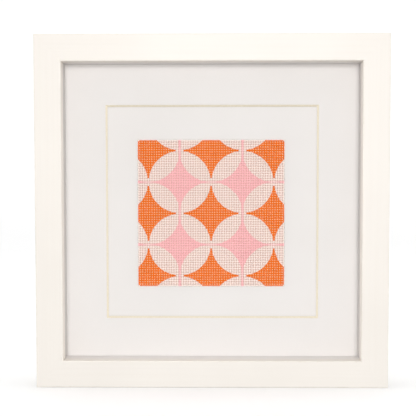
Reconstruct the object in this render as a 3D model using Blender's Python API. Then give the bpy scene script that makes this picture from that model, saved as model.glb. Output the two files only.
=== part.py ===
"""Needlepoint canvas panel in a square white box frame.

The panel stands on its bottom rail and faces -Y, with +X to its right and +Z up.
The origin is on the surface that it stands on, under the middle of the frame.
From front to back: four mitred rails with a thin front lip, four spacer strips behind the
lip that hold the boards back, a mat board with a bevelled window, the square of open mesh
canvas, the mount board that the canvas is fixed to, and a plain back panel.
All sizes are in metres.
"""

import math

import bmesh
import bpy
from mathutils import Vector

# Frame
FRAME_SIZE = 0.280        # outside width and height
FRAME_DEPTH = 0.034       # front face to back edge
FACE_WIDTH = 0.0215       # flat front face of a rail
LIP_DEPTH = 0.009         # front face to the step behind the lip
STEP_WIDTH = 0.0065       # how far the lip reaches in front of the boards
EDGE_RADIUS = 0.0008      # softened long edges of the rails
EDGE_STEPS = 4            # straight steps in a softened edge

# Spacer strips between the lip and the mat board
SPACER_DEPTH = 0.0107
SPACER_SETBACK = 0.0005   # their inner faces lie this far behind the lip's edge

# Boards
MAT_THICKNESS = 0.0018
WINDOW_WIDTH = 0.1696     # window of the mat board at its back, where it is smallest
WINDOW_HEIGHT = 0.1705
WINDOW_SHIFT_X = 0.0002   # the window was cut a little right of the board's middle
WINDOW_SHIFT_Z = -0.0009  # and a little low
MOUNT_THICKNESS = 0.0020
BACK_THICKNESS = 0.0030

# Canvas: one thread to a painted stitch, both ways
CANVAS_THREADS = 61
THREAD_PITCH = 0.001967
CANVAS_THICKNESS = 0.0010
CANVAS_SHIFT_X = -0.0007  # the canvas was fixed a little left of the frame's middle
CANVAS_SHIFT_Z = -0.0020  # and a little low

# Clearance between neighbouring pieces
GAP = 0.0003

# Places worked out from the sizes above
HALF_FRAME = FRAME_SIZE / 2
STEP_INWARD = FACE_WIDTH - STEP_WIDTH
BOARD_SIZE = FRAME_SIZE - 2 * (STEP_INWARD + GAP)
SPACER_WIDTH = STEP_WIDTH - SPACER_SETBACK - GAP
FRONT_Y = -FRAME_DEPTH / 2
SPACER_FRONT_Y = FRONT_Y + LIP_DEPTH + GAP
SPACER_BACK_Y = SPACER_FRONT_Y + SPACER_DEPTH
MAT_FRONT_Y = SPACER_BACK_Y + GAP
MAT_BACK_Y = MAT_FRONT_Y + MAT_THICKNESS
MOUNT_FRONT_Y = MAT_BACK_Y + GAP
MOUNT_BACK_Y = MOUNT_FRONT_Y + MOUNT_THICKNESS
BACK_FRONT_Y = MOUNT_BACK_Y + GAP
BACK_REAR_Y = BACK_FRONT_Y + BACK_THICKNESS
CANVAS_SIZE = CANVAS_THREADS * THREAD_PITCH
CANVAS_BACK_Y = MOUNT_FRONT_Y - GAP
CANVAS_FRONT_Y = CANVAS_BACK_Y - CANVAS_THICKNESS


def clear_scene():
    for item in list(bpy.data.objects):
        bpy.data.objects.remove(item, do_unlink=True)


def make_material(name, color, roughness):
    """A plain non-metal finish with a linear colour."""
    material = bpy.data.materials.new(name)
    material.use_nodes = True
    shader = material.node_tree.nodes["Principled BSDF"]
    shader.inputs["Base Color"].default_value = (*color, 1.0)
    shader.inputs["Roughness"].default_value = roughness
    shader.inputs["Metallic"].default_value = 0.0
    return material


def add_object(name, mesh, material, parent):
    item = bpy.data.objects.new(name, mesh)
    if not mesh.materials:
        mesh.materials.append(material)
    bpy.context.collection.objects.link(item)
    item.parent = parent
    return item


def mesh_from_loops(name, loops, closed_ring):
    """Join equal loops of points, one after another, into one closed skin.

    A closed ring joins the last loop to the first. Otherwise the end loops are capped.
    """
    mesh = bpy.data.meshes.new(name)
    shape = bmesh.new()
    rows = [[shape.verts.new(point) for point in loop] for loop in loops]
    count = len(rows[0])
    pairs = list(zip(rows, rows[1:]))
    if closed_ring:
        pairs.append((rows[-1], rows[0]))
    else:
        shape.faces.new(rows[0])
        shape.faces.new(list(reversed(rows[-1])))
    for near, far in pairs:
        for i in range(count):
            j = (i + 1) % count
            shape.faces.new((near[i], far[i], far[j], near[j]))
    bmesh.ops.recalc_face_normals(shape, faces=shape.faces)
    shape.to_mesh(mesh)
    shape.free()
    return mesh


def softened_corner(before, corner, after, radius):
    """Points of an arc that replaces a square corner of a section."""
    towards_before = (before - corner).normalized()
    towards_after = (after - corner).normalized()
    centre = corner + radius * (towards_before + towards_after)
    points = []
    for i in range(EDGE_STEPS + 1):
        angle = (math.pi / 2) * i / EDGE_STEPS
        reach = math.cos(angle) * towards_after + math.sin(angle) * towards_before
        points.append(centre - radius * reach)
    return points


def rail_section():
    """Section of a rail as (inward, depth) points, counted from its front outer edge."""
    corners = [
        (Vector((0.0, 0.0)), True),
        (Vector((FACE_WIDTH, 0.0)), True),
        (Vector((FACE_WIDTH, LIP_DEPTH)), False),
        (Vector((STEP_INWARD, LIP_DEPTH)), False),
        (Vector((STEP_INWARD, FRAME_DEPTH)), False),
        (Vector((0.0, FRAME_DEPTH)), True),
    ]
    points = []
    for i, (corner, softened) in enumerate(corners):
        if softened:
            before = corners[i - 1][0]
            after = corners[(i + 1) % len(corners)][0]
            points += softened_corner(before, corner, after, EDGE_RADIUS)
        else:
            points.append(corner)
    return points


def rail_mesh():
    """The bottom rail about the frame's middle, its ends cut at 45 degrees."""
    setback = GAP / math.sqrt(2)
    ends = []
    for side in (-1, 1):
        loop = []
        for inward, depth in rail_section():
            reach = HALF_FRAME - inward - setback
            loop.append((side * reach, FRONT_Y + depth, inward - HALF_FRAME))
        ends.append(loop)
    return mesh_from_loops("rail", ends, closed_ring=False)


def upright_loop(width, height, y, x=0.0, z=0.0):
    """Corners of an upright rectangle about (x, z), at one depth."""
    left, right = x - width / 2, x + width / 2
    low, high = z - height / 2, z + height / 2
    return [(left, y, low), (right, y, low), (right, y, high), (left, y, high)]


def board_mesh(name, width, height, front_y, rear_y):
    """A plain rectangular board."""
    loops = [upright_loop(width, height, front_y), upright_loop(width, height, rear_y)]
    return mesh_from_loops(name, loops, closed_ring=False)


def mat_mesh():
    """A square board with a window whose edges are cut at 45 degrees, wider in front."""
    front_width = WINDOW_WIDTH + 2 * MAT_THICKNESS
    front_height = WINDOW_HEIGHT + 2 * MAT_THICKNESS
    middle = (WINDOW_SHIFT_X, WINDOW_SHIFT_Z)
    loops = [
        upright_loop(BOARD_SIZE, BOARD_SIZE, MAT_FRONT_Y),
        upright_loop(BOARD_SIZE, BOARD_SIZE, MAT_BACK_Y),
        upright_loop(WINDOW_WIDTH, WINDOW_HEIGHT, MAT_BACK_Y, *middle),
        upright_loop(front_width, front_height, MAT_FRONT_Y, *middle),
    ]
    return mesh_from_loops("mat_board", loops, closed_ring=True)


def build_rails(middle):
    paint = make_material("frame_paint", (0.93, 0.90, 0.86), 0.45)
    mesh = rail_mesh()
    for turn, side in enumerate(("bottom", "left", "top", "right")):
        rail = add_object("rail_" + side, mesh, paint, middle)
        rail.rotation_euler = (0.0, turn * math.pi / 2, 0.0)


def build_spacers(middle):
    """Two strips across the whole board and two between them, butted at the corners."""
    card = make_material("spacer_card", (0.86, 0.83, 0.81), 0.80)
    from_middle = BOARD_SIZE / 2 - SPACER_WIDTH / 2
    between = BOARD_SIZE - 2 * (SPACER_WIDTH + GAP)
    across = board_mesh("spacer_across", BOARD_SIZE, SPACER_WIDTH, SPACER_FRONT_Y, SPACER_BACK_Y)
    upright = board_mesh("spacer_upright", SPACER_WIDTH, between, SPACER_FRONT_Y, SPACER_BACK_Y)
    add_object("spacer_bottom", across, card, middle).location.z = -from_middle
    add_object("spacer_top", across, card, middle).location.z = from_middle
    add_object("spacer_left", upright, card, middle).location.x = -from_middle
    add_object("spacer_right", upright, card, middle).location.x = from_middle


def build_boards(middle):
    mat_paper = make_material("mat_paper", (0.86, 0.84, 0.82), 0.85)
    add_object("mat_board", mat_mesh(), mat_paper, middle)
    mount_paper = make_material("mount_paper", (0.89, 0.85, 0.82), 0.85)
    mount = board_mesh("mount_board", BOARD_SIZE, BOARD_SIZE, MOUNT_FRONT_Y, MOUNT_BACK_Y)
    add_object("mount_board", mount, mount_paper, middle)
    hardboard = make_material("hardboard", (0.30, 0.19, 0.11), 0.70)
    back = board_mesh("back_panel", BOARD_SIZE, BOARD_SIZE, BACK_FRONT_Y, BACK_REAR_Y)
    add_object("back_panel", back, hardboard, middle)


def build_canvas(middle):
    painted = make_material("painted_canvas", (0.95, 0.50, 0.36), 0.90)
    mesh = board_mesh("canvas", CANVAS_SIZE, CANVAS_SIZE, CANVAS_FRONT_Y, CANVAS_BACK_Y)
    canvas = add_object("needlepoint_canvas", mesh, painted, middle)
    canvas.location = (CANVAS_SHIFT_X, 0.0, CANVAS_SHIFT_Z)


def main():
    clear_scene()
    middle = bpy.data.objects.new("frame_middle", None)
    bpy.context.collection.objects.link(middle)
    middle.location = (0.0, 0.0, HALF_FRAME)
    build_rails(middle)
    build_spacers(middle)
    build_boards(middle)
    build_canvas(middle)


main()
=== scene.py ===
"""Looks of the framed needlepoint canvas panel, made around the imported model.

The panel faces -Y, with +X to its right and +Z up. All sizes are in metres.
"""

import math
import random

import bpy
from mathutils import Matrix, Vector, noise


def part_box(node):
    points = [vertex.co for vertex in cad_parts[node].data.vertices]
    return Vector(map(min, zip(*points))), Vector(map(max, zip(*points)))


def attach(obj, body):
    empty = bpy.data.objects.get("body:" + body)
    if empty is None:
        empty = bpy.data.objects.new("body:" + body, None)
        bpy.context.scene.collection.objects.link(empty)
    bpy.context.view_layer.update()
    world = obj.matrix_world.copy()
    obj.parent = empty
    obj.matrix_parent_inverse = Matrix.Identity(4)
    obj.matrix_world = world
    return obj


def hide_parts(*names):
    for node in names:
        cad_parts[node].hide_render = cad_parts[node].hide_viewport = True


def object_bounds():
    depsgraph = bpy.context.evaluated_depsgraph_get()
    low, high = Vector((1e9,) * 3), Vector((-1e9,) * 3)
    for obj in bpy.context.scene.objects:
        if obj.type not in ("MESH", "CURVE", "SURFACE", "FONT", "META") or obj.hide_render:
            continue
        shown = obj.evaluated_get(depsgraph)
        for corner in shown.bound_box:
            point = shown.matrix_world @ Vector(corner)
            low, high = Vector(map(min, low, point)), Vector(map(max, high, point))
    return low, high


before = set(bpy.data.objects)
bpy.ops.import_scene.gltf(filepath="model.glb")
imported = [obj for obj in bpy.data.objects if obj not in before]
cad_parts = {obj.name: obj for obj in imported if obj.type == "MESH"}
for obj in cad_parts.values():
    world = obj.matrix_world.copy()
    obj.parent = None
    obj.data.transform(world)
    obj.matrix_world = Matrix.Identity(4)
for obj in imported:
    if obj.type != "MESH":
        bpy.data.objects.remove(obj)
cad_low, cad_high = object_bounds()

# Camera, fitted to the corners of the frame, sight opening, mat and window in the photo
CAMERA_PLACE = Vector((0.0044, -0.6472, 0.1705))
CAMERA_PITCH = math.radians(-2.47)
CAMERA_YAW = math.radians(-0.67)
CAMERA_ROLL = math.radians(-0.05)
IMAGE_PIXELS = 416
FOCAL_PIXELS = 800.0
SENSOR_WIDTH_MM = 36.0

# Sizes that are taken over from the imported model
CLEARANCE = 0.0003
HALF_FRAME = (cad_high.x - cad_low.x) / 2
FRONT_Y = cad_low.y
REAR_Y = cad_high.y
MIDDLE_Z = HALF_FRAME
FACE_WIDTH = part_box("rail_bottom")[1].z
LIP_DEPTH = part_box("spacer_bottom")[0].y - CLEARANCE - FRONT_Y
MAT_LOW, MAT_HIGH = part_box("mat_board")
HALF_BOARD = MAT_HIGH.x
STEP_INWARD = HALF_FRAME - HALF_BOARD - CLEARANCE
EDGE_RADIUS = 0.0008
# Window of the mat at its back: least and most x, then least and most height
WINDOW_WIDTH, WINDOW_HEIGHT = 0.1696, 0.1705
WINDOW_X, WINDOW_Z = 0.0002, MIDDLE_Z - 0.0009
WINDOW = (
    WINDOW_X - WINDOW_WIDTH / 2,
    WINDOW_X + WINDOW_WIDTH / 2,
    WINDOW_Z - WINDOW_HEIGHT / 2,
    WINDOW_Z + WINDOW_HEIGHT / 2,
)
CANVAS_LOW, CANVAS_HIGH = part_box("needlepoint_canvas")

# Canvas: threads each way, and the share of a pitch that a thread is wide
THREADS = 61
CANVAS_SIZE = CANVAS_HIGH.x - CANVAS_LOW.x
PITCH = CANVAS_SIZE / THREADS
CANVAS_X = (CANVAS_LOW.x + CANVAS_HIGH.x) / 2
CANVAS_Z = (CANVAS_LOW.z + CANVAS_HIGH.z) / 2
WEAVE_RISE = 0.00020
# Half width and half thickness of a thread, pressed flat at a crossing and rounder between
CROSSING_WIDE, CROSSING_THICK = 0.00061, 0.00020
BETWEEN_WIDE, BETWEEN_THICK = 0.00046, 0.00033
# The threads lie on the mount board
CANVAS_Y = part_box("mount_board")[0].y - 0.00002 - WEAVE_RISE - CROSSING_THICK
RINGS_PER_CROSSING = 4


def make_camera():
    """The camera at the photo's place and angle."""
    data = bpy.data.cameras.new("camera")
    data.sensor_width = SENSOR_WIDTH_MM
    data.lens = FOCAL_PIXELS / IMAGE_PIXELS * SENSOR_WIDTH_MM
    data.clip_start = 0.01
    data.clip_end = 50.0
    camera = bpy.data.objects.new("camera", data)
    bpy.context.scene.collection.objects.link(camera)
    forward = Vector((
        math.sin(CAMERA_YAW) * math.cos(CAMERA_PITCH),
        math.cos(CAMERA_YAW) * math.cos(CAMERA_PITCH),
        math.sin(CAMERA_PITCH),
    ))
    facing = forward.to_track_quat("-Z", "Y").to_matrix().to_4x4()
    roll = Matrix.Rotation(CAMERA_ROLL, 4, "Z")
    camera.matrix_world = Matrix.Translation(CAMERA_PLACE) @ facing @ roll
    bpy.context.scene.camera = camera


make_camera()


# Materials

class Finish:
    """A procedural material and short ways to add nodes to it."""

    def __init__(self, name):
        self.material = bpy.data.materials.new(name)
        self.material.use_nodes = True
        self.tree = self.material.node_tree
        self.shader = self.tree.nodes["Principled BSDF"]
        self.place = self.node("TexCoord").outputs["Object"]

    def node(self, kind, inputs=None, **settings):
        """A node with its settings. Each input is a value, or an output to link."""
        made = self.tree.nodes.new("ShaderNode" + kind)
        for name, value in settings.items():
            setattr(made, name, value)
        for socket, value in (inputs or {}).items():
            if isinstance(value, bpy.types.NodeSocket):
                self.tree.links.new(value, made.inputs[socket])
            else:
                made.inputs[socket].default_value = value
        return made

    def math(self, operation, first, second=0.0, third=0.0):
        inputs = {0: first, 1: second, 2: third}
        return self.node("Math", inputs, operation=operation).outputs[0]

    def stretched(self, scale, turn=0.0):
        """The object's own coordinates, scaled apart along each axis."""
        inputs = {"Vector": self.place, "Scale": scale, "Rotation": (0.0, turn, 0.0)}
        return self.node("Mapping", inputs).outputs[0]

    def noise(self, scale, detail=2.0, rough=0.5, vector=None):
        inputs = {
            "Vector": vector or self.place,
            "Scale": scale,
            "Detail": detail,
            "Roughness": rough,
        }
        return self.node("TexNoise", inputs).outputs[0]

    def between(self, value, low, high, new_low, new_high):
        """The value moved from one range to another, and kept inside it."""
        inputs = {0: value, 1: low, 2: high, 3: new_low, 4: new_high}
        return self.node("MapRange", inputs).outputs[0]

    def mix(self, share, first, second, blend="MIX"):
        """A colour between two colours, or one coloured by the other."""
        made = self.node("Mix", data_type="RGBA", blend_type=blend)
        for socket, value in ((0, share), (6, first), (7, second)):
            if isinstance(value, bpy.types.NodeSocket):
                self.tree.links.new(value, made.inputs[socket])
            elif socket:
                made.inputs[socket].default_value = (*value, 1.0)
            else:
                made.inputs[socket].default_value = value
        return made.outputs[2]

    def bump(self, height, distance, strength=1.0, before=None):
        inputs = {"Height": height, "Distance": distance, "Strength": strength}
        if before is not None:
            inputs["Normal"] = before
        return self.node("Bump", inputs).outputs[0]

    def wear(self, color=None, roughness=None, normal=None, specular=None):
        """Join the finished parts to the shader."""
        for socket, value in (("Base Color", color), ("Roughness", roughness), ("Normal", normal)):
            if isinstance(value, bpy.types.NodeSocket):
                self.tree.links.new(value, self.shader.inputs[socket])
            elif value is not None:
                self.shader.inputs[socket].default_value = value
        if specular is not None:
            self.shader.inputs["Specular IOR Level"].default_value = specular
        return self.material


def frame_paint():
    """Smooth warm white paint on wood: faint grain and brush lines along the rail."""
    f = Finish("frame_paint_finish")
    grain = f.noise(1.0, 4.0, 0.6, f.stretched((9.0, 420.0, 420.0)))
    brush = f.noise(1.0, 3.0, 0.55, f.stretched((28.0, 1500.0, 1500.0)))
    peel = f.noise(620.0, 2.0)
    patches = f.noise(14.0, 3.0)
    worn = f.node("Attribute", attribute_name="arris").outputs["Fac"]
    specks = f.between(f.noise(260.0, 4.0, 0.65), 0.52, 0.66, 0.0, 1.0)
    base = f.mix(f.between(patches, 0.35, 0.65, 0.0, 1.0), (0.77, 0.725, 0.67), (0.79, 0.745, 0.69))
    streaked = f.mix(f.between(grain, 0.4, 0.7, 0.0, 0.35), base, (0.755, 0.705, 0.645))
    rubbed = f.math("MULTIPLY", worn, f.between(specks, 0.0, 1.0, 0.12, 0.5))
    color = f.mix(rubbed, streaked, (0.715, 0.655, 0.57))
    fine = f.bump(peel, 0.00003, 0.5)
    lined = f.bump(brush, 0.00002, 0.5, fine)
    normal = f.bump(grain, 0.00004, 0.5, lined)
    roughness = f.between(f.math("ADD", brush, patches), 0.7, 1.3, 0.36, 0.5)
    return f.wear(color, roughness, normal, 0.45)


# Paints of the canvas
ORANGE = (0.87, 0.172, 0.002)
PINK = (0.975, 0.565, 0.585)
CREAM = (1.0, 0.85, 0.785)
RAW_COTTON = (0.92, 0.86, 0.78)
# How strong the thin pink lines are: those that stand, and those that lie across
LINE_SHARES = (0.65, 0.38)
# Painted shade of each paint on the threads' sides, deep in the mesh, and how far in front of the
# canvas's middle it starts
ORANGE_SIDE_SHADE = (1.0, 0.48, 0.46)
PINK_SIDE_SHADE = (1.0, 0.58, 0.70)
CREAM_SIDE_SHADE = (0.54, 0.54, 0.52)
SIDE_SHADE_START = 0.00034
# Painted shade on the board under the canvas, seen through its holes, and under its orange stars a
# warmer tint that is painted light in red and painted shade in green and blue
UNDER_CANVAS_SHADE = (1.0, 0.68, 0.60)
UNDER_STARS_SHADE_AND_LIGHT = (1.18, 0.76, 0.44)
STITCHES_IN_REPEAT = 26.0
STAR_RADIUS = 12.8
PETAL_RADIUS = 13.0
LINE_TIP = 1.6


def squared_length(f, parts):
    """Square of a length from its two parts."""
    squares = [f.math("MULTIPLY", part, part) for part in parts]
    return f.math("ADD", squares[0], squares[1])


def stitch_design(f, axes):
    """Where the design is orange and where it is pink, and the stitches out from the middle.

    A counted formula gives the overlapping circles. Each thread crossing is one stitch. It is
    counted from the middle of the canvas, and its distances from the nearest pink column and
    row say which of the three paints it has.
    """
    brushed = f.noise(700.0, 2.0)
    half = STITCHES_IN_REPEAT / 2
    distance = []
    edges = []
    for axis, middle in ((axes[0], CANVAS_X), (axes[2], CANVAS_Z)):
        counted = f.math("MULTIPLY_ADD", axis, 1 / PITCH, -middle / PITCH)
        edges.append(f.math("ABSOLUTE", counted))
        stitch = f.math("MULTIPLY_ADD", brushed, 0.4, f.math("SUBTRACT", counted, 0.2))
        repeat = f.math("FLOORED_MODULO", stitch, STITCHES_IN_REPEAT)
        distance.append(f.math("ABSOLUTE", f.math("SUBTRACT", repeat, half)))
    from_pink = squared_length(f, distance)
    from_star = squared_length(f, [f.math("SUBTRACT", half, away) for away in distance])
    nearest = f.math("MINIMUM", distance[0], distance[1])
    outside = f.math("GREATER_THAN", from_pink, STAR_RADIUS ** 2)
    is_star = f.math("MULTIPLY", outside, f.math("GREATER_THAN", nearest, LINE_TIP))
    in_square = f.math("GREATER_THAN", from_star, PETAL_RADIUS ** 2)
    in_lines = [
        f.math("MULTIPLY", f.math("LESS_THAN", away, 0.6), share)
        for away, share in zip(distance, LINE_SHARES)
    ]
    is_pink = f.math("MAXIMUM", in_square, f.math("MAXIMUM", in_lines[0], in_lines[1]))
    return is_star, is_pink, f.math("MAXIMUM", edges[0], edges[1])


def paper(name, light, dark, tooth=1.0, under_canvas=False):
    """Matt board paper: short felted fibres, soft blotches and a slight tooth.

    Under the canvas it is painted darker, painted shade for the holes between the threads, and
    warmer and lighter in red under the orange stars.
    """
    f = Finish(name)
    cloud = f.noise(22.0, 3.0)
    fibres = f.noise(1900.0, 3.0, 0.6)
    across = f.noise(1.0, 3.0, 0.6, f.stretched((420.0, 2600.0, 2600.0), 0.5))
    along = f.noise(1.0, 3.0, 0.6, f.stretched((2600.0, 2600.0, 420.0), 0.3))
    felt = f.math("ADD", across, along)
    shade = f.math("ADD", f.between(cloud, 0.3, 0.7, 0.0, 0.6), f.between(felt, 0.7, 1.3, 0.0, 0.4))
    color = f.mix(shade, light, dark)
    if under_canvas:
        is_star, _, outermost = stitch_design(f, f.node("SeparateXYZ", {0: f.place}).outputs)
        inside = f.between(outermost, THREADS / 2 - 1, THREADS / 2 - 0.5, 1.0, 0.0)
        # Painted shade seen through the canvas's holes, and painted light in red under the orange
        # stars
        color = f.mix(inside, color, f.mix(is_star, UNDER_CANVAS_SHADE, UNDER_STARS_SHADE_AND_LIGHT), "MULTIPLY")
    rise = f.math("ADD", felt, fibres)
    normal = f.bump(rise, 0.00003, 0.45 * tooth)
    roughness = f.between(felt, 0.7, 1.3, 0.82, 0.94)
    return f.wear(color, roughness, normal, 0.25)


def board_core():
    """Cut cream core of the mat: layered pulp with knife marks along the cut."""
    f = Finish("mat_core_finish")
    pulp = f.noise(900.0, 4.0, 0.65)
    layers = f.noise(1.0, 2.0, 0.5, f.stretched((60.0, 5200.0, 60.0)))
    speckled = f.between(pulp, 0.35, 0.65, 0.0, 0.6)
    striped = f.between(layers, 0.35, 0.65, 0.0, 0.4)
    shade = f.math("ADD", speckled, striped)
    color = f.mix(shade, (0.82, 0.755, 0.62), (0.72, 0.64, 0.50))
    normal = f.bump(f.math("ADD", pulp, layers), 0.00006, 0.5)
    return f.wear(color, f.between(pulp, 0.35, 0.65, 0.85, 0.95), normal, 0.2)


def hardboard():
    """Brown pressed wood fibre: felted fibres, dark flecks and a faint shine."""
    f = Finish("hardboard_finish")
    felt = f.noise(1.0, 5.0, 0.65, f.stretched((260.0, 260.0, 900.0), 0.6))
    other = f.noise(1.0, 5.0, 0.65, f.stretched((900.0, 260.0, 260.0), 0.4))
    fibre = f.math("ADD", felt, other)
    flecks = f.between(f.noise(900.0, 3.0, 0.6), 0.6, 0.72, 0.0, 1.0)
    cloud = f.between(f.noise(16.0, 3.0), 0.35, 0.65, 0.0, 1.0)
    warm = f.mix(cloud, (0.235, 0.135, 0.07), (0.29, 0.175, 0.095))
    felted = f.mix(f.between(fibre, 0.8, 1.25, 0.0, 0.7), warm, (0.38, 0.25, 0.145))
    color = f.mix(f.math("MULTIPLY", flecks, 0.6), felted, (0.12, 0.07, 0.04))
    normal = f.bump(fibre, 0.00008, 0.6)
    return f.wear(color, f.between(fibre, 0.8, 1.25, 0.5, 0.68), normal, 0.4)


def painted_thread(name):
    """Cotton threads in the design's paints: a thin coat, twisted strands, and painted shade on
    their sides and in the grooves between the strands.
    """
    f = Finish(name)
    axes = f.node("SeparateXYZ", {0: f.place}).outputs
    is_star, is_pink, outermost = stitch_design(f, axes)
    coat = f.noise(380.0, 4.0, 0.6)
    strands = f.noise(1.0, 3.0, 0.6, f.stretched((1500.0, 1500.0, 5200.0), 0.785))
    design = f.mix(is_star, f.mix(is_pink, CREAM, PINK), ORANGE)
    side_shade = f.mix(is_star, f.mix(is_pink, CREAM_SIDE_SHADE, PINK_SIDE_SHADE), ORANGE_SIDE_SHADE)
    painted = f.mix(f.between(outermost, 30.1, 30.4, 0.0, 1.0), design, RAW_COTTON)
    thin = f.between(coat, 0.5, 0.72, 0.0, 0.10)
    faded = f.mix(thin, painted, (0.95, 0.86, 0.78))
    # Darker along the grooves between the twisted strands: painted shade
    lined = f.mix(f.between(strands, 0.35, 0.65, 0.16, 0.0), faded, (0.55, 0.22, 0.13))
    # The threads' sides, deeper in the mesh, are painted darker in each paint's tint: painted shade
    depth = f.between(axes[1], CANVAS_Y - SIDE_SHADE_START, CANVAS_Y, 0.0, 1.0)
    shaded = f.mix(depth, lined, side_shade, "MULTIPLY")
    ply = f.bump(strands, 0.00008, 0.7)
    normal = f.bump(coat, 0.00006, 0.5, ply)
    f.shader.inputs["Sheen Weight"].default_value = 0.03
    f.shader.inputs["Sheen Roughness"].default_value = 0.6
    return f.wear(shaded, f.between(coat, 0.35, 0.65, 0.72, 0.9), normal, 0.12)


def studio_white(name, glow=0.0):
    """Pale floor paper with the faintest unevenness. Where it glows it is lit from behind."""
    f = Finish(name)
    f.shader.inputs["Emission Color"].default_value = (1.0, 1.0, 1.0, 1.0)
    f.shader.inputs["Emission Strength"].default_value = glow
    cloud = f.between(f.noise(3.0, 3.0), 0.3, 0.7, 0.0, 1.0)
    color = f.mix(cloud, (0.965, 0.965, 0.965), (0.98, 0.98, 0.98))
    return f.wear(color, f.between(f.noise(60.0), 0.3, 0.7, 0.88, 0.96), None, 0.1)


# Geometry

def add_piece(name, verts, faces, materials, smooth_below=None):
    """A mesh object. Faces that meet at less than smooth_below degrees are smoothed."""
    mesh = bpy.data.meshes.new(name)
    mesh.from_pydata(verts, [], faces)
    for material in materials:
        mesh.materials.append(material)
    if smooth_below is not None:
        mesh.shade_smooth()
        mesh.set_sharp_from_angle(angle=math.radians(smooth_below))
    mesh.update()
    item = bpy.data.objects.new(name, mesh)
    bpy.context.scene.collection.objects.link(item)
    return item


def even_normals(item):
    """Large flat faces keep flat shading beside their softened edges."""
    modifier = item.modifiers.new("even_normals", "WEIGHTED_NORMAL")
    modifier.keep_sharp = True
    modifier.weight = 100


def set_arris(item, values):
    """Mark the edges where the paint looks rubbed."""
    attribute = item.data.attributes.new("arris", "FLOAT", "POINT")
    attribute.data.foreach_set("value", values)


def softened_corner(before, corner, after, radius, steps):
    """Points of an arc in place of a square corner, from before to after."""
    to_before = (before - corner).normalized()
    to_after = (after - corner).normalized()
    centre = corner + radius * (to_before + to_after)
    points = []
    for i in range(steps + 1):
        angle = (math.pi / 2) * i / steps
        reach = math.cos(angle) * to_after + math.sin(angle) * to_before
        points.append(centre - radius * reach)
    return points


# Rows of points on a flat run of the section: beside its softened edges, and between them
EDGE_MARGIN = 0.0006
ROW_SPACING = 0.004
SHORTEST_FLAT_RUN = 0.003


def rail_section():
    """Points of a rail's section and how rubbed each is, finer than the CAD's."""
    depth = REAR_Y - FRONT_Y
    corners = [
        (Vector((0.0, 0.0)), EDGE_RADIUS, 8),
        (Vector((FACE_WIDTH, 0.0)), EDGE_RADIUS, 8),
        (Vector((FACE_WIDTH, LIP_DEPTH)), 0.0002, 3),
        (Vector((STEP_INWARD, LIP_DEPTH)), 0.0, 0),
        (Vector((STEP_INWARD, depth)), 0.0003, 4),
        (Vector((0.0, depth)), EDGE_RADIUS, 8),
    ]
    outline = []
    for i, (corner, radius, steps) in enumerate(corners):
        if radius:
            before = corners[i - 1][0]
            after = corners[(i + 1) % len(corners)][0]
            arc = softened_corner(before, corner, after, radius, steps)
            outline += [(point, 1.0) for point in arc]
        else:
            outline.append((corner, 0.0))
    section = []
    for (here, worn), (there, next_worn) in zip(outline, outline[1:] + outline[:1]):
        section.append((here, worn))
        length = (there - here).length
        if length < SHORTEST_FLAT_RUN:
            continue
        section.append((here.lerp(there, EDGE_MARGIN / length), 0.0))
        between = max(1, round(length / ROW_SPACING))
        for j in range(1, between):
            section.append((here.lerp(there, j / between), 0.0))
        section.append((here.lerp(there, 1 - EDGE_MARGIN / length), 0.0))
    return section


RAIL_STEPS = 56
# Share of the rail's half length where the last row before the joint lies
NEAR_END = 0.9985
JOINT_GAP = 0.000005
JOINT_SOFTENING = 0.00002
# Deepest hollow in a face, and the share of the half length over which it fades to the joint
FACE_HOLLOW = 0.00004
FADE_SHARE = 0.12


def outward(section, i):
    """Direction out of the solid at a point of the section."""
    before = section[i - 1][0]
    after = section[(i + 1) % len(section)][0]
    run = (after - before).normalized()
    return Vector((run.y, -run.x))


def build_rail(side, turn, paint):
    """One mitred rail, its ends carried to a hairline joint and its faces barely uneven."""
    section = rail_section()
    sign = 1.0 if outward(section, 12).dot(Vector((0.0, -1.0))) > 0 else -1.0
    verts = []
    arris = []
    stations = [-1.0, -NEAR_END] + [2 * k / RAIL_STEPS - 1 for k in range(1, RAIL_STEPS)]
    stations += [NEAR_END, 1.0]
    for station in stations:
        at_end = abs(station) == 1.0
        fade = min(1.0, (1.0 - abs(station)) / FADE_SHARE)
        for i, (point, worn) in enumerate(section):
            out = outward(section, i) * sign
            hollow = noise.noise(Vector((station * 5.5 + 31 * turn, point.x * 60, point.y * 60)))
            inset = FACE_HOLLOW * fade * (0.5 + 0.5 * hollow)
            if at_end:
                inset += JOINT_SOFTENING
            moved = point - out * inset
            reach = HALF_FRAME - moved.x - JOINT_GAP
            verts.append((station * reach, FRONT_Y + moved.y, moved.x - HALF_FRAME))
            arris.append(worn)
    count = len(section)
    faces = []
    for row in range(len(stations) - 1):
        for i in range(count):
            j = (i + 1) % count
            here, there = row * count, (row + 1) * count
            faces.append((here + i, there + i, there + j, here + j))
    last = (len(stations) - 1) * count
    faces.append(tuple(range(count)))
    faces.append(tuple(last + i for i in reversed(range(count))))
    rail = add_piece("frame_rail_" + side, verts, faces, [paint], 40)
    set_arris(rail, arris)
    even_normals(rail)
    rail.location = (0.0, 0.0, MIDDLE_Z)
    rail.rotation_euler = (0.0, turn * math.pi / 2, 0.0)
    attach(rail, "root")
    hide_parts("rail_" + side)


def grown(box, by):
    """An upright rectangle, larger by the same amount on every side."""
    return (box[0] - by, box[1] + by, box[2] - by, box[3] + by)


def upright_ring(box, y, steps, waviness):
    """Points round an upright rectangle, moved back by up to the waviness."""
    left, right, low, high = box
    corners = [(left, low), (right, low), (right, high), (left, high)]
    ring = []
    for (x0, z0), (x1, z1) in zip(corners, corners[1:] + corners[:1]):
        for k in range(steps):
            x = x0 + (x1 - x0) * k / steps
            z = z0 + (z1 - z0) * k / steps
            drift = noise.noise(Vector((x * 30, z * 30, 3.0)))
            ring.append((x, y + waviness * (0.5 + 0.5 * drift), z))
    return ring


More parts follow.
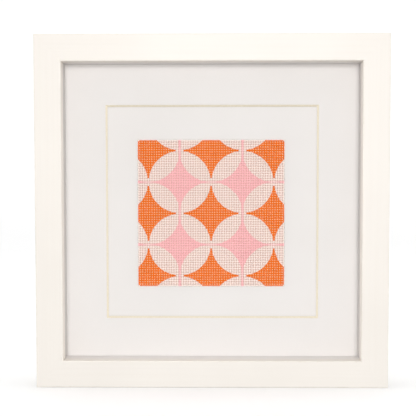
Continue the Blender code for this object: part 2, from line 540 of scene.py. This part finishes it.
def build_mat(face, core):
    """The mat: paper face, and a window cut at 45 degrees through its cream core."""
    front, rear = MAT_LOW.y, MAT_HIGH.y
    thick = rear - front
    outer = (MAT_LOW.x, MAT_HIGH.x, MAT_LOW.z, MAT_HIGH.z)
    opening = grown(WINDOW, thick)
    skin = 0.00016
    lip = 0.00006
    steps = 40
    face_rings = 14
    # Rectangle, depth, waviness and material of each ring, from the back round to the back
    rings = [(outer, rear, 0.0, 0), (outer, front, 0.0, 0)]
    for k in range(1, face_rings):
        share = k / face_rings
        edge = grown(opening, 2 * lip)
        box = tuple(a + (b - a) * share for a, b in zip(outer, edge))
        rings.append((box, front, 0.00003, 0))
    rings.append((grown(opening, 2 * lip), front, 0.00001, 0))
    rings.append((grown(opening, 0.4 * lip), front + 0.25 * lip, 0.0, 0))
    rings.append((grown(opening, -lip), front + 1.4 * lip, 0.0, 0))
    rings.append((grown(opening, -skin), front + skin, 0.0, 1))
    for k in range(1, 5):
        deep = skin + (thick - 2 * skin) * k / 5
        rings.append((grown(opening, -deep), front + deep, 0.00001, 1))
    rings.append((grown(WINDOW, skin), rear - skin, 0.0, 0))
    rings.append((WINDOW, rear, 0.0, 0))
    verts = []
    for box, y, waviness, _ in rings:
        verts += upright_ring(box, y, steps, waviness)
    count = 4 * steps
    faces = []
    indices = []
    for row in range(len(rings)):
        following = (row + 1) % len(rings)
        for i in range(count):
            j = (i + 1) % count
            here, there = row * count, following * count
            faces.append((here + i, here + j, there + j, there + i))
            indices.append(rings[row][3])
    mat = add_piece("mat", verts, faces, [face, core], 30)
    mat.data.polygons.foreach_set("material_index", indices)
    even_normals(mat)
    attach(mat, "root")
    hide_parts("mat_board")


# Section of a thread as shares of its half width and half thickness, front towards -Y
THREAD_SECTION = [(-1.0, 0.0), (-0.7, -1.0), (0.7, -1.0), (1.0, 0.0), (0.7, 1.0), (-0.7, 1.0)]
# Where each of those points lies across the thread's strip of the bake map, and the strip's
# margin and width as shares of its place
STRIP_SHARES = [0.0, 0.24, 0.54, 0.78, 0.85, 0.93, 1.0]
STRIP_MARGIN, STRIP_WIDTH = 0.04, 0.92
# How flat a thread runs over a crossing
CROSSING_FLATNESS = 1.5
# How far threads wander sideways, swell, and differ in length at the cut edge
THREAD_WANDER = 0.00006
THREAD_SWELL = 0.05
THREAD_TRIM = 0.00012


def thread_rise(along, over):
    """Height of a thread's axis out of the canvas, flattened where it crosses."""
    wave = math.cos(math.pi * along / PITCH)
    return over * WEAVE_RISE * math.tanh(CROSSING_FLATNESS * wave) / math.tanh(CROSSING_FLATNESS)


def build_threads(name, upright, material, draw):
    """All threads of one direction, each a closed flattened tube that weaves over and under."""
    half_count = (THREADS - 1) // 2
    rings = THREADS * RINGS_PER_CROSSING + 1
    sides = len(THREAD_SECTION)
    verts = []
    faces = []
    strips = []
    for n in range(THREADS):
        number = n - half_count
        over = (1 if number % 2 == 0 else -1) * (1 if upright else -1)
        width = draw.uniform(0.95, 1.05)
        drift_seed = draw.uniform(0.0, 100.0)
        trims = [draw.uniform(-THREAD_TRIM, THREAD_TRIM) for _ in range(2)]
        first_vert = len(verts)
        for k in range(rings):
            along = (k / RINGS_PER_CROSSING - THREADS / 2) * PITCH
            at_end = k in (0, rings - 1)
            if at_end:
                along += trims[0] if k == 0 else trims[1]
            drift = noise.noise(Vector((along * 90, drift_seed, 0.0)))
            swell = noise.noise(Vector((along * 600, drift_seed, 9.0)))
            across = number * PITCH + drift * THREAD_WANDER
            flat = abs(math.cos(math.pi * along / PITCH))
            half_width = BETWEEN_WIDE + (CROSSING_WIDE - BETWEEN_WIDE) * flat
            half_width *= width * (1.0 + THREAD_SWELL * swell)
            half_thick = BETWEEN_THICK + (CROSSING_THICK - BETWEEN_THICK) * flat
            if at_end:
                half_width *= 0.8
                half_thick *= 0.75
            axis_y = CANVAS_Y + thread_rise(along, -over)
            for share_wide, share_thick in THREAD_SECTION:
                side = across + share_wide * half_width
                y = axis_y + share_thick * half_thick
                if upright:
                    verts.append((CANVAS_X + side, y, CANVAS_Z + along))
                else:
                    verts.append((CANVAS_X + along, y, CANVAS_Z - side))
        for k in range(rings - 1):
            for i in range(sides):
                j = (i + 1) % sides
                here = first_vert + k * sides
                there = here + sides
                faces.append((here + i, here + j, there + j, there + i))
                near, far = k / (rings - 1), (k + 1) / (rings - 1)
                low = (n + STRIP_MARGIN + STRIP_WIDTH * STRIP_SHARES[i]) / THREADS
                high = (n + STRIP_MARGIN + STRIP_WIDTH * STRIP_SHARES[i + 1]) / THREADS
                strips += [near, low, near, high, far, high, far, low]
        for end, order in ((0, range(sides - 1, -1, -1)), (rings - 1, range(sides))):
            faces.append(tuple(first_vert + end * sides + i for i in order))
            edge = 0.0 if end == 0 else 1.0 - 1.0 / rings
            for i in order:
                share_wide, share_thick = THREAD_SECTION[i]
                strips.append(edge + (0.5 + 0.5 * share_thick) / rings)
                strips.append((n + 0.5 + 0.3 * share_wide) / THREADS)
    threads = add_piece(name, verts, faces, [material])
    threads.data.shade_smooth()
    layer = threads.data.uv_layers.new(name="OFBake")
    layer.data.foreach_set("uv", strips)
    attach(threads, "root")
    return threads


def build_fray(material, draw):
    """Short stray fibres at the cut ends of the threads."""
    half = CANVAS_SIZE / 2
    verts = []
    faces = []
    sides = 4
    for direction in range(4):
        turn = direction * math.pi / 2
        out = Vector((math.cos(turn), 0.0, math.sin(turn)))
        across = Vector((-out.z, 0.0, out.x))
        for n in range(THREADS):
            number = n - (THREADS - 1) // 2
            for _ in range(draw.randint(2, 4)):
                offset = number * PITCH + draw.uniform(-0.8, 0.8) * CROSSING_WIDE
                start = out * (half - 0.00025) + across * offset
                start.y = draw.uniform(-0.0002, 0.0002)
                bend = across * draw.uniform(-0.0003, 0.0003)
                bend += Vector((0, draw.uniform(-1, 1), 0)) * 0.0001
                reach = draw.uniform(0.00035, 0.0008)
                thick = draw.uniform(0.00002, 0.000035)
                first = len(verts)
                for k in range(4):
                    share = k / 3
                    centre = start + out * reach * share + bend * share * share
                    radius = thick * (1.0 - 0.6 * share)
                    for i in range(sides):
                        angle = 2 * math.pi * i / sides
                        ring = across * math.cos(angle) + Vector((0, 1, 0)) * math.sin(angle)
                        place = centre + ring * radius
                        verts.append((CANVAS_X + place.x, CANVAS_Y + place.y, CANVAS_Z + place.z))
                for k in range(3):
                    for i in range(sides):
                        j = (i + 1) % sides
                        here = first + k * sides
                        faces.append((here + j, here + i, here + sides + i, here + sides + j))
                faces.append(tuple(first + i for i in range(sides)))
                faces.append(tuple(first + 3 * sides + i for i in reversed(range(sides))))
    fray = add_piece("canvas_fray", verts, faces, [material])
    fray.data.shade_smooth()
    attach(fray, "root")
    return fray


def repaint(node, material):
    """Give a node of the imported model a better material."""
    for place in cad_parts[node].material_slots:
        place.material = material


def build_panel():
    """Everything that is seen of the panel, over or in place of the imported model's nodes."""
    paint = frame_paint()
    for turn, side in enumerate(("bottom", "left", "top", "right")):
        build_rail(side, turn, paint)
    mat_paper = paper("mat_paper_finish", (0.775, 0.746, 0.726), (0.75, 0.721, 0.697))
    build_mat(mat_paper, board_core())
    # The two upright card strips are darker, painted shade for the side walls of the recess, and
    # the two lying ones lighter, painted light for its floor lit from above
    upright_card_painted_shade = paper("upright_card_painted_shade_finish", (0.60, 0.57, 0.55), (0.565, 0.535, 0.515), 1.4)
    for side in ("left", "right"):
        repaint("spacer_" + side, upright_card_painted_shade)
    lying_card_painted_light = paper("lying_card_painted_light_finish", (0.82, 0.79, 0.77), (0.785, 0.755, 0.735), 1.4)
    for side in ("bottom", "top"):
        repaint("spacer_" + side, lying_card_painted_light)
    mount_paper = paper("mount_paper_finish", (0.78, 0.75, 0.73), (0.755, 0.725, 0.70), 0.8, True)
    repaint("mount_board", mount_paper)
    repaint("back_panel", hardboard())
    draw = random.Random(13)
    warp = build_threads("canvas_warp", True, painted_thread("painted_warp"), draw)
    weft = build_threads("canvas_weft", False, painted_thread("painted_weft"), draw)
    fray = build_fray(painted_thread("painted_fray"), draw)
    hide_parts("needlepoint_canvas")


# Studio

STAGE_HALF_WIDTH = 3.2
STAGE_FRONT_Y = -3.3
STAGE_HEIGHT = 4.5
COVE_START_Y = 1.2
COVE_RADIUS = 1.4
COVE_STEPS = 12
WALL_GLOW = 0.7


def stage_strip(name, corners, finish):
    """Paper between pairs of corners, one pair after another."""
    verts = [corner for pair in corners for corner in pair]
    faces = []
    for row in range(len(corners) - 1):
        here = 2 * row
        faces.append((here, here + 1, here + 3, here + 2))
    strip = add_piece(name, verts, faces, [finish])
    strip.data.shade_smooth()
    return strip


def swept_across(profile):
    """Pairs of corners, left and right, along a profile of (y, height)."""
    return [((-STAGE_HALF_WIDTH, y, z), (STAGE_HALF_WIDTH, y, z)) for y, z in profile]


def keep_out_of_light(strip):
    """Shown as it is, but it throws no light on the panel and takes none from it."""
    strip.visible_diffuse = False
    strip.visible_glossy = False
    strip.visible_shadow = False


def build_stage():
    """A pale floor that curves up into a plain backdrop, and bright walls on the other sides."""
    finish = studio_white("studio_white")
    profile = [(0.0, 0.0), (0.4, 0.0), (COVE_START_Y, 0.0)]
    for k in range(1, COVE_STEPS + 1):
        angle = (math.pi / 2) * k / COVE_STEPS
        y = COVE_START_Y + COVE_RADIUS * math.sin(angle)
        profile.append((y, COVE_RADIUS - COVE_RADIUS * math.cos(angle)))
    rear_y = COVE_START_Y + COVE_RADIUS
    profile.append((rear_y, STAGE_HEIGHT))
    stage_strip("studio_floor", swept_across(profile), finish)
    # Light from the floor in front would come past the bottom rail, which would shade the mat
    near_floor = swept_across([(STAGE_FRONT_Y, 0.0), (-2.0, 0.0), (-0.5, 0.0), (0.0, 0.0)])
    keep_out_of_light(stage_strip("studio_floor_front", near_floor, finish))
    left, right = -STAGE_HALF_WIDTH, STAGE_HALF_WIDTH
    posts = [(left, rear_y), (left, STAGE_FRONT_Y), (right, STAGE_FRONT_Y), (right, rear_y)]
    wall = [((x, y, 0.0), (x, y, STAGE_HEIGHT)) for x, y in posts]
    walls = stage_strip("studio_walls", wall, studio_white("studio_wall_white", WALL_GLOW))
    walls.data.shade_flat()
    keep_out_of_light(walls)


def add_area_light(name, place, aim, width, height, watts):
    """A white rectangular light that the camera doesn't see."""
    data = bpy.data.lights.new(name, "AREA")
    data.shape = "RECTANGLE"
    data.size = width
    data.size_y = height
    data.energy = watts
    light = bpy.data.objects.new(name, data)
    light.location = place
    facing = (Vector(aim) - Vector(place)).to_track_quat("-Z", "Y")
    light.rotation_euler = facing.to_euler()
    light.visible_camera = False
    bpy.context.scene.collection.objects.link(light)


def build_light():
    """Even light from all round, and soft boxes for the panel, the floor and the backdrop."""
    world = bpy.data.worlds.new("studio_air")
    world.use_nodes = True
    background = world.node_tree.nodes["Background"]
    background.inputs["Color"].default_value = (1.0, 1.0, 1.0, 1.0)
    background.inputs["Strength"].default_value = 0.505
    bpy.context.scene.world = world
    panel = (0.0, 0.0, 0.14)
    # Broad light from the front, which leaves the recess free of shadows
    add_area_light("front_softbox", (0.0, -3.0, 0.4), panel, 0.9, 0.9, 44.5)
    add_area_light("right_softbox", (0.45, -2.95, 0.6), panel, 0.7, 0.7, 10.2)
    # Grazing light from the sides, level with the panel, and from above, which lights mostly
    # the walls of the recess
    add_area_light("side_softbox_right", (2.8, -0.4, 0.25), panel, 0.6, 0.4, 18.0)
    add_area_light("side_softbox_left", (-2.8, -0.4, 0.25), panel, 0.6, 0.4, 19.0)
    add_area_light("top_softbox", (0.0, -0.5, 2.8), panel, 1.8, 0.3, 6.0)
    # Light on the floor and the backdrop
    add_area_light("floor_softbox", (0.0, 0.04, 1.9), (0.0, 0.04, 0.0), 2.4, 0.5, 12.0)
    add_area_light("backdrop_softbox", (0.0, 1.3, 2.4), (0.0, 1.3, 0.0), 3.0, 1.6, 10.7)


build_panel()
build_stage()
build_light()
bpy.context.scene.view_settings.view_transform = "Standard"
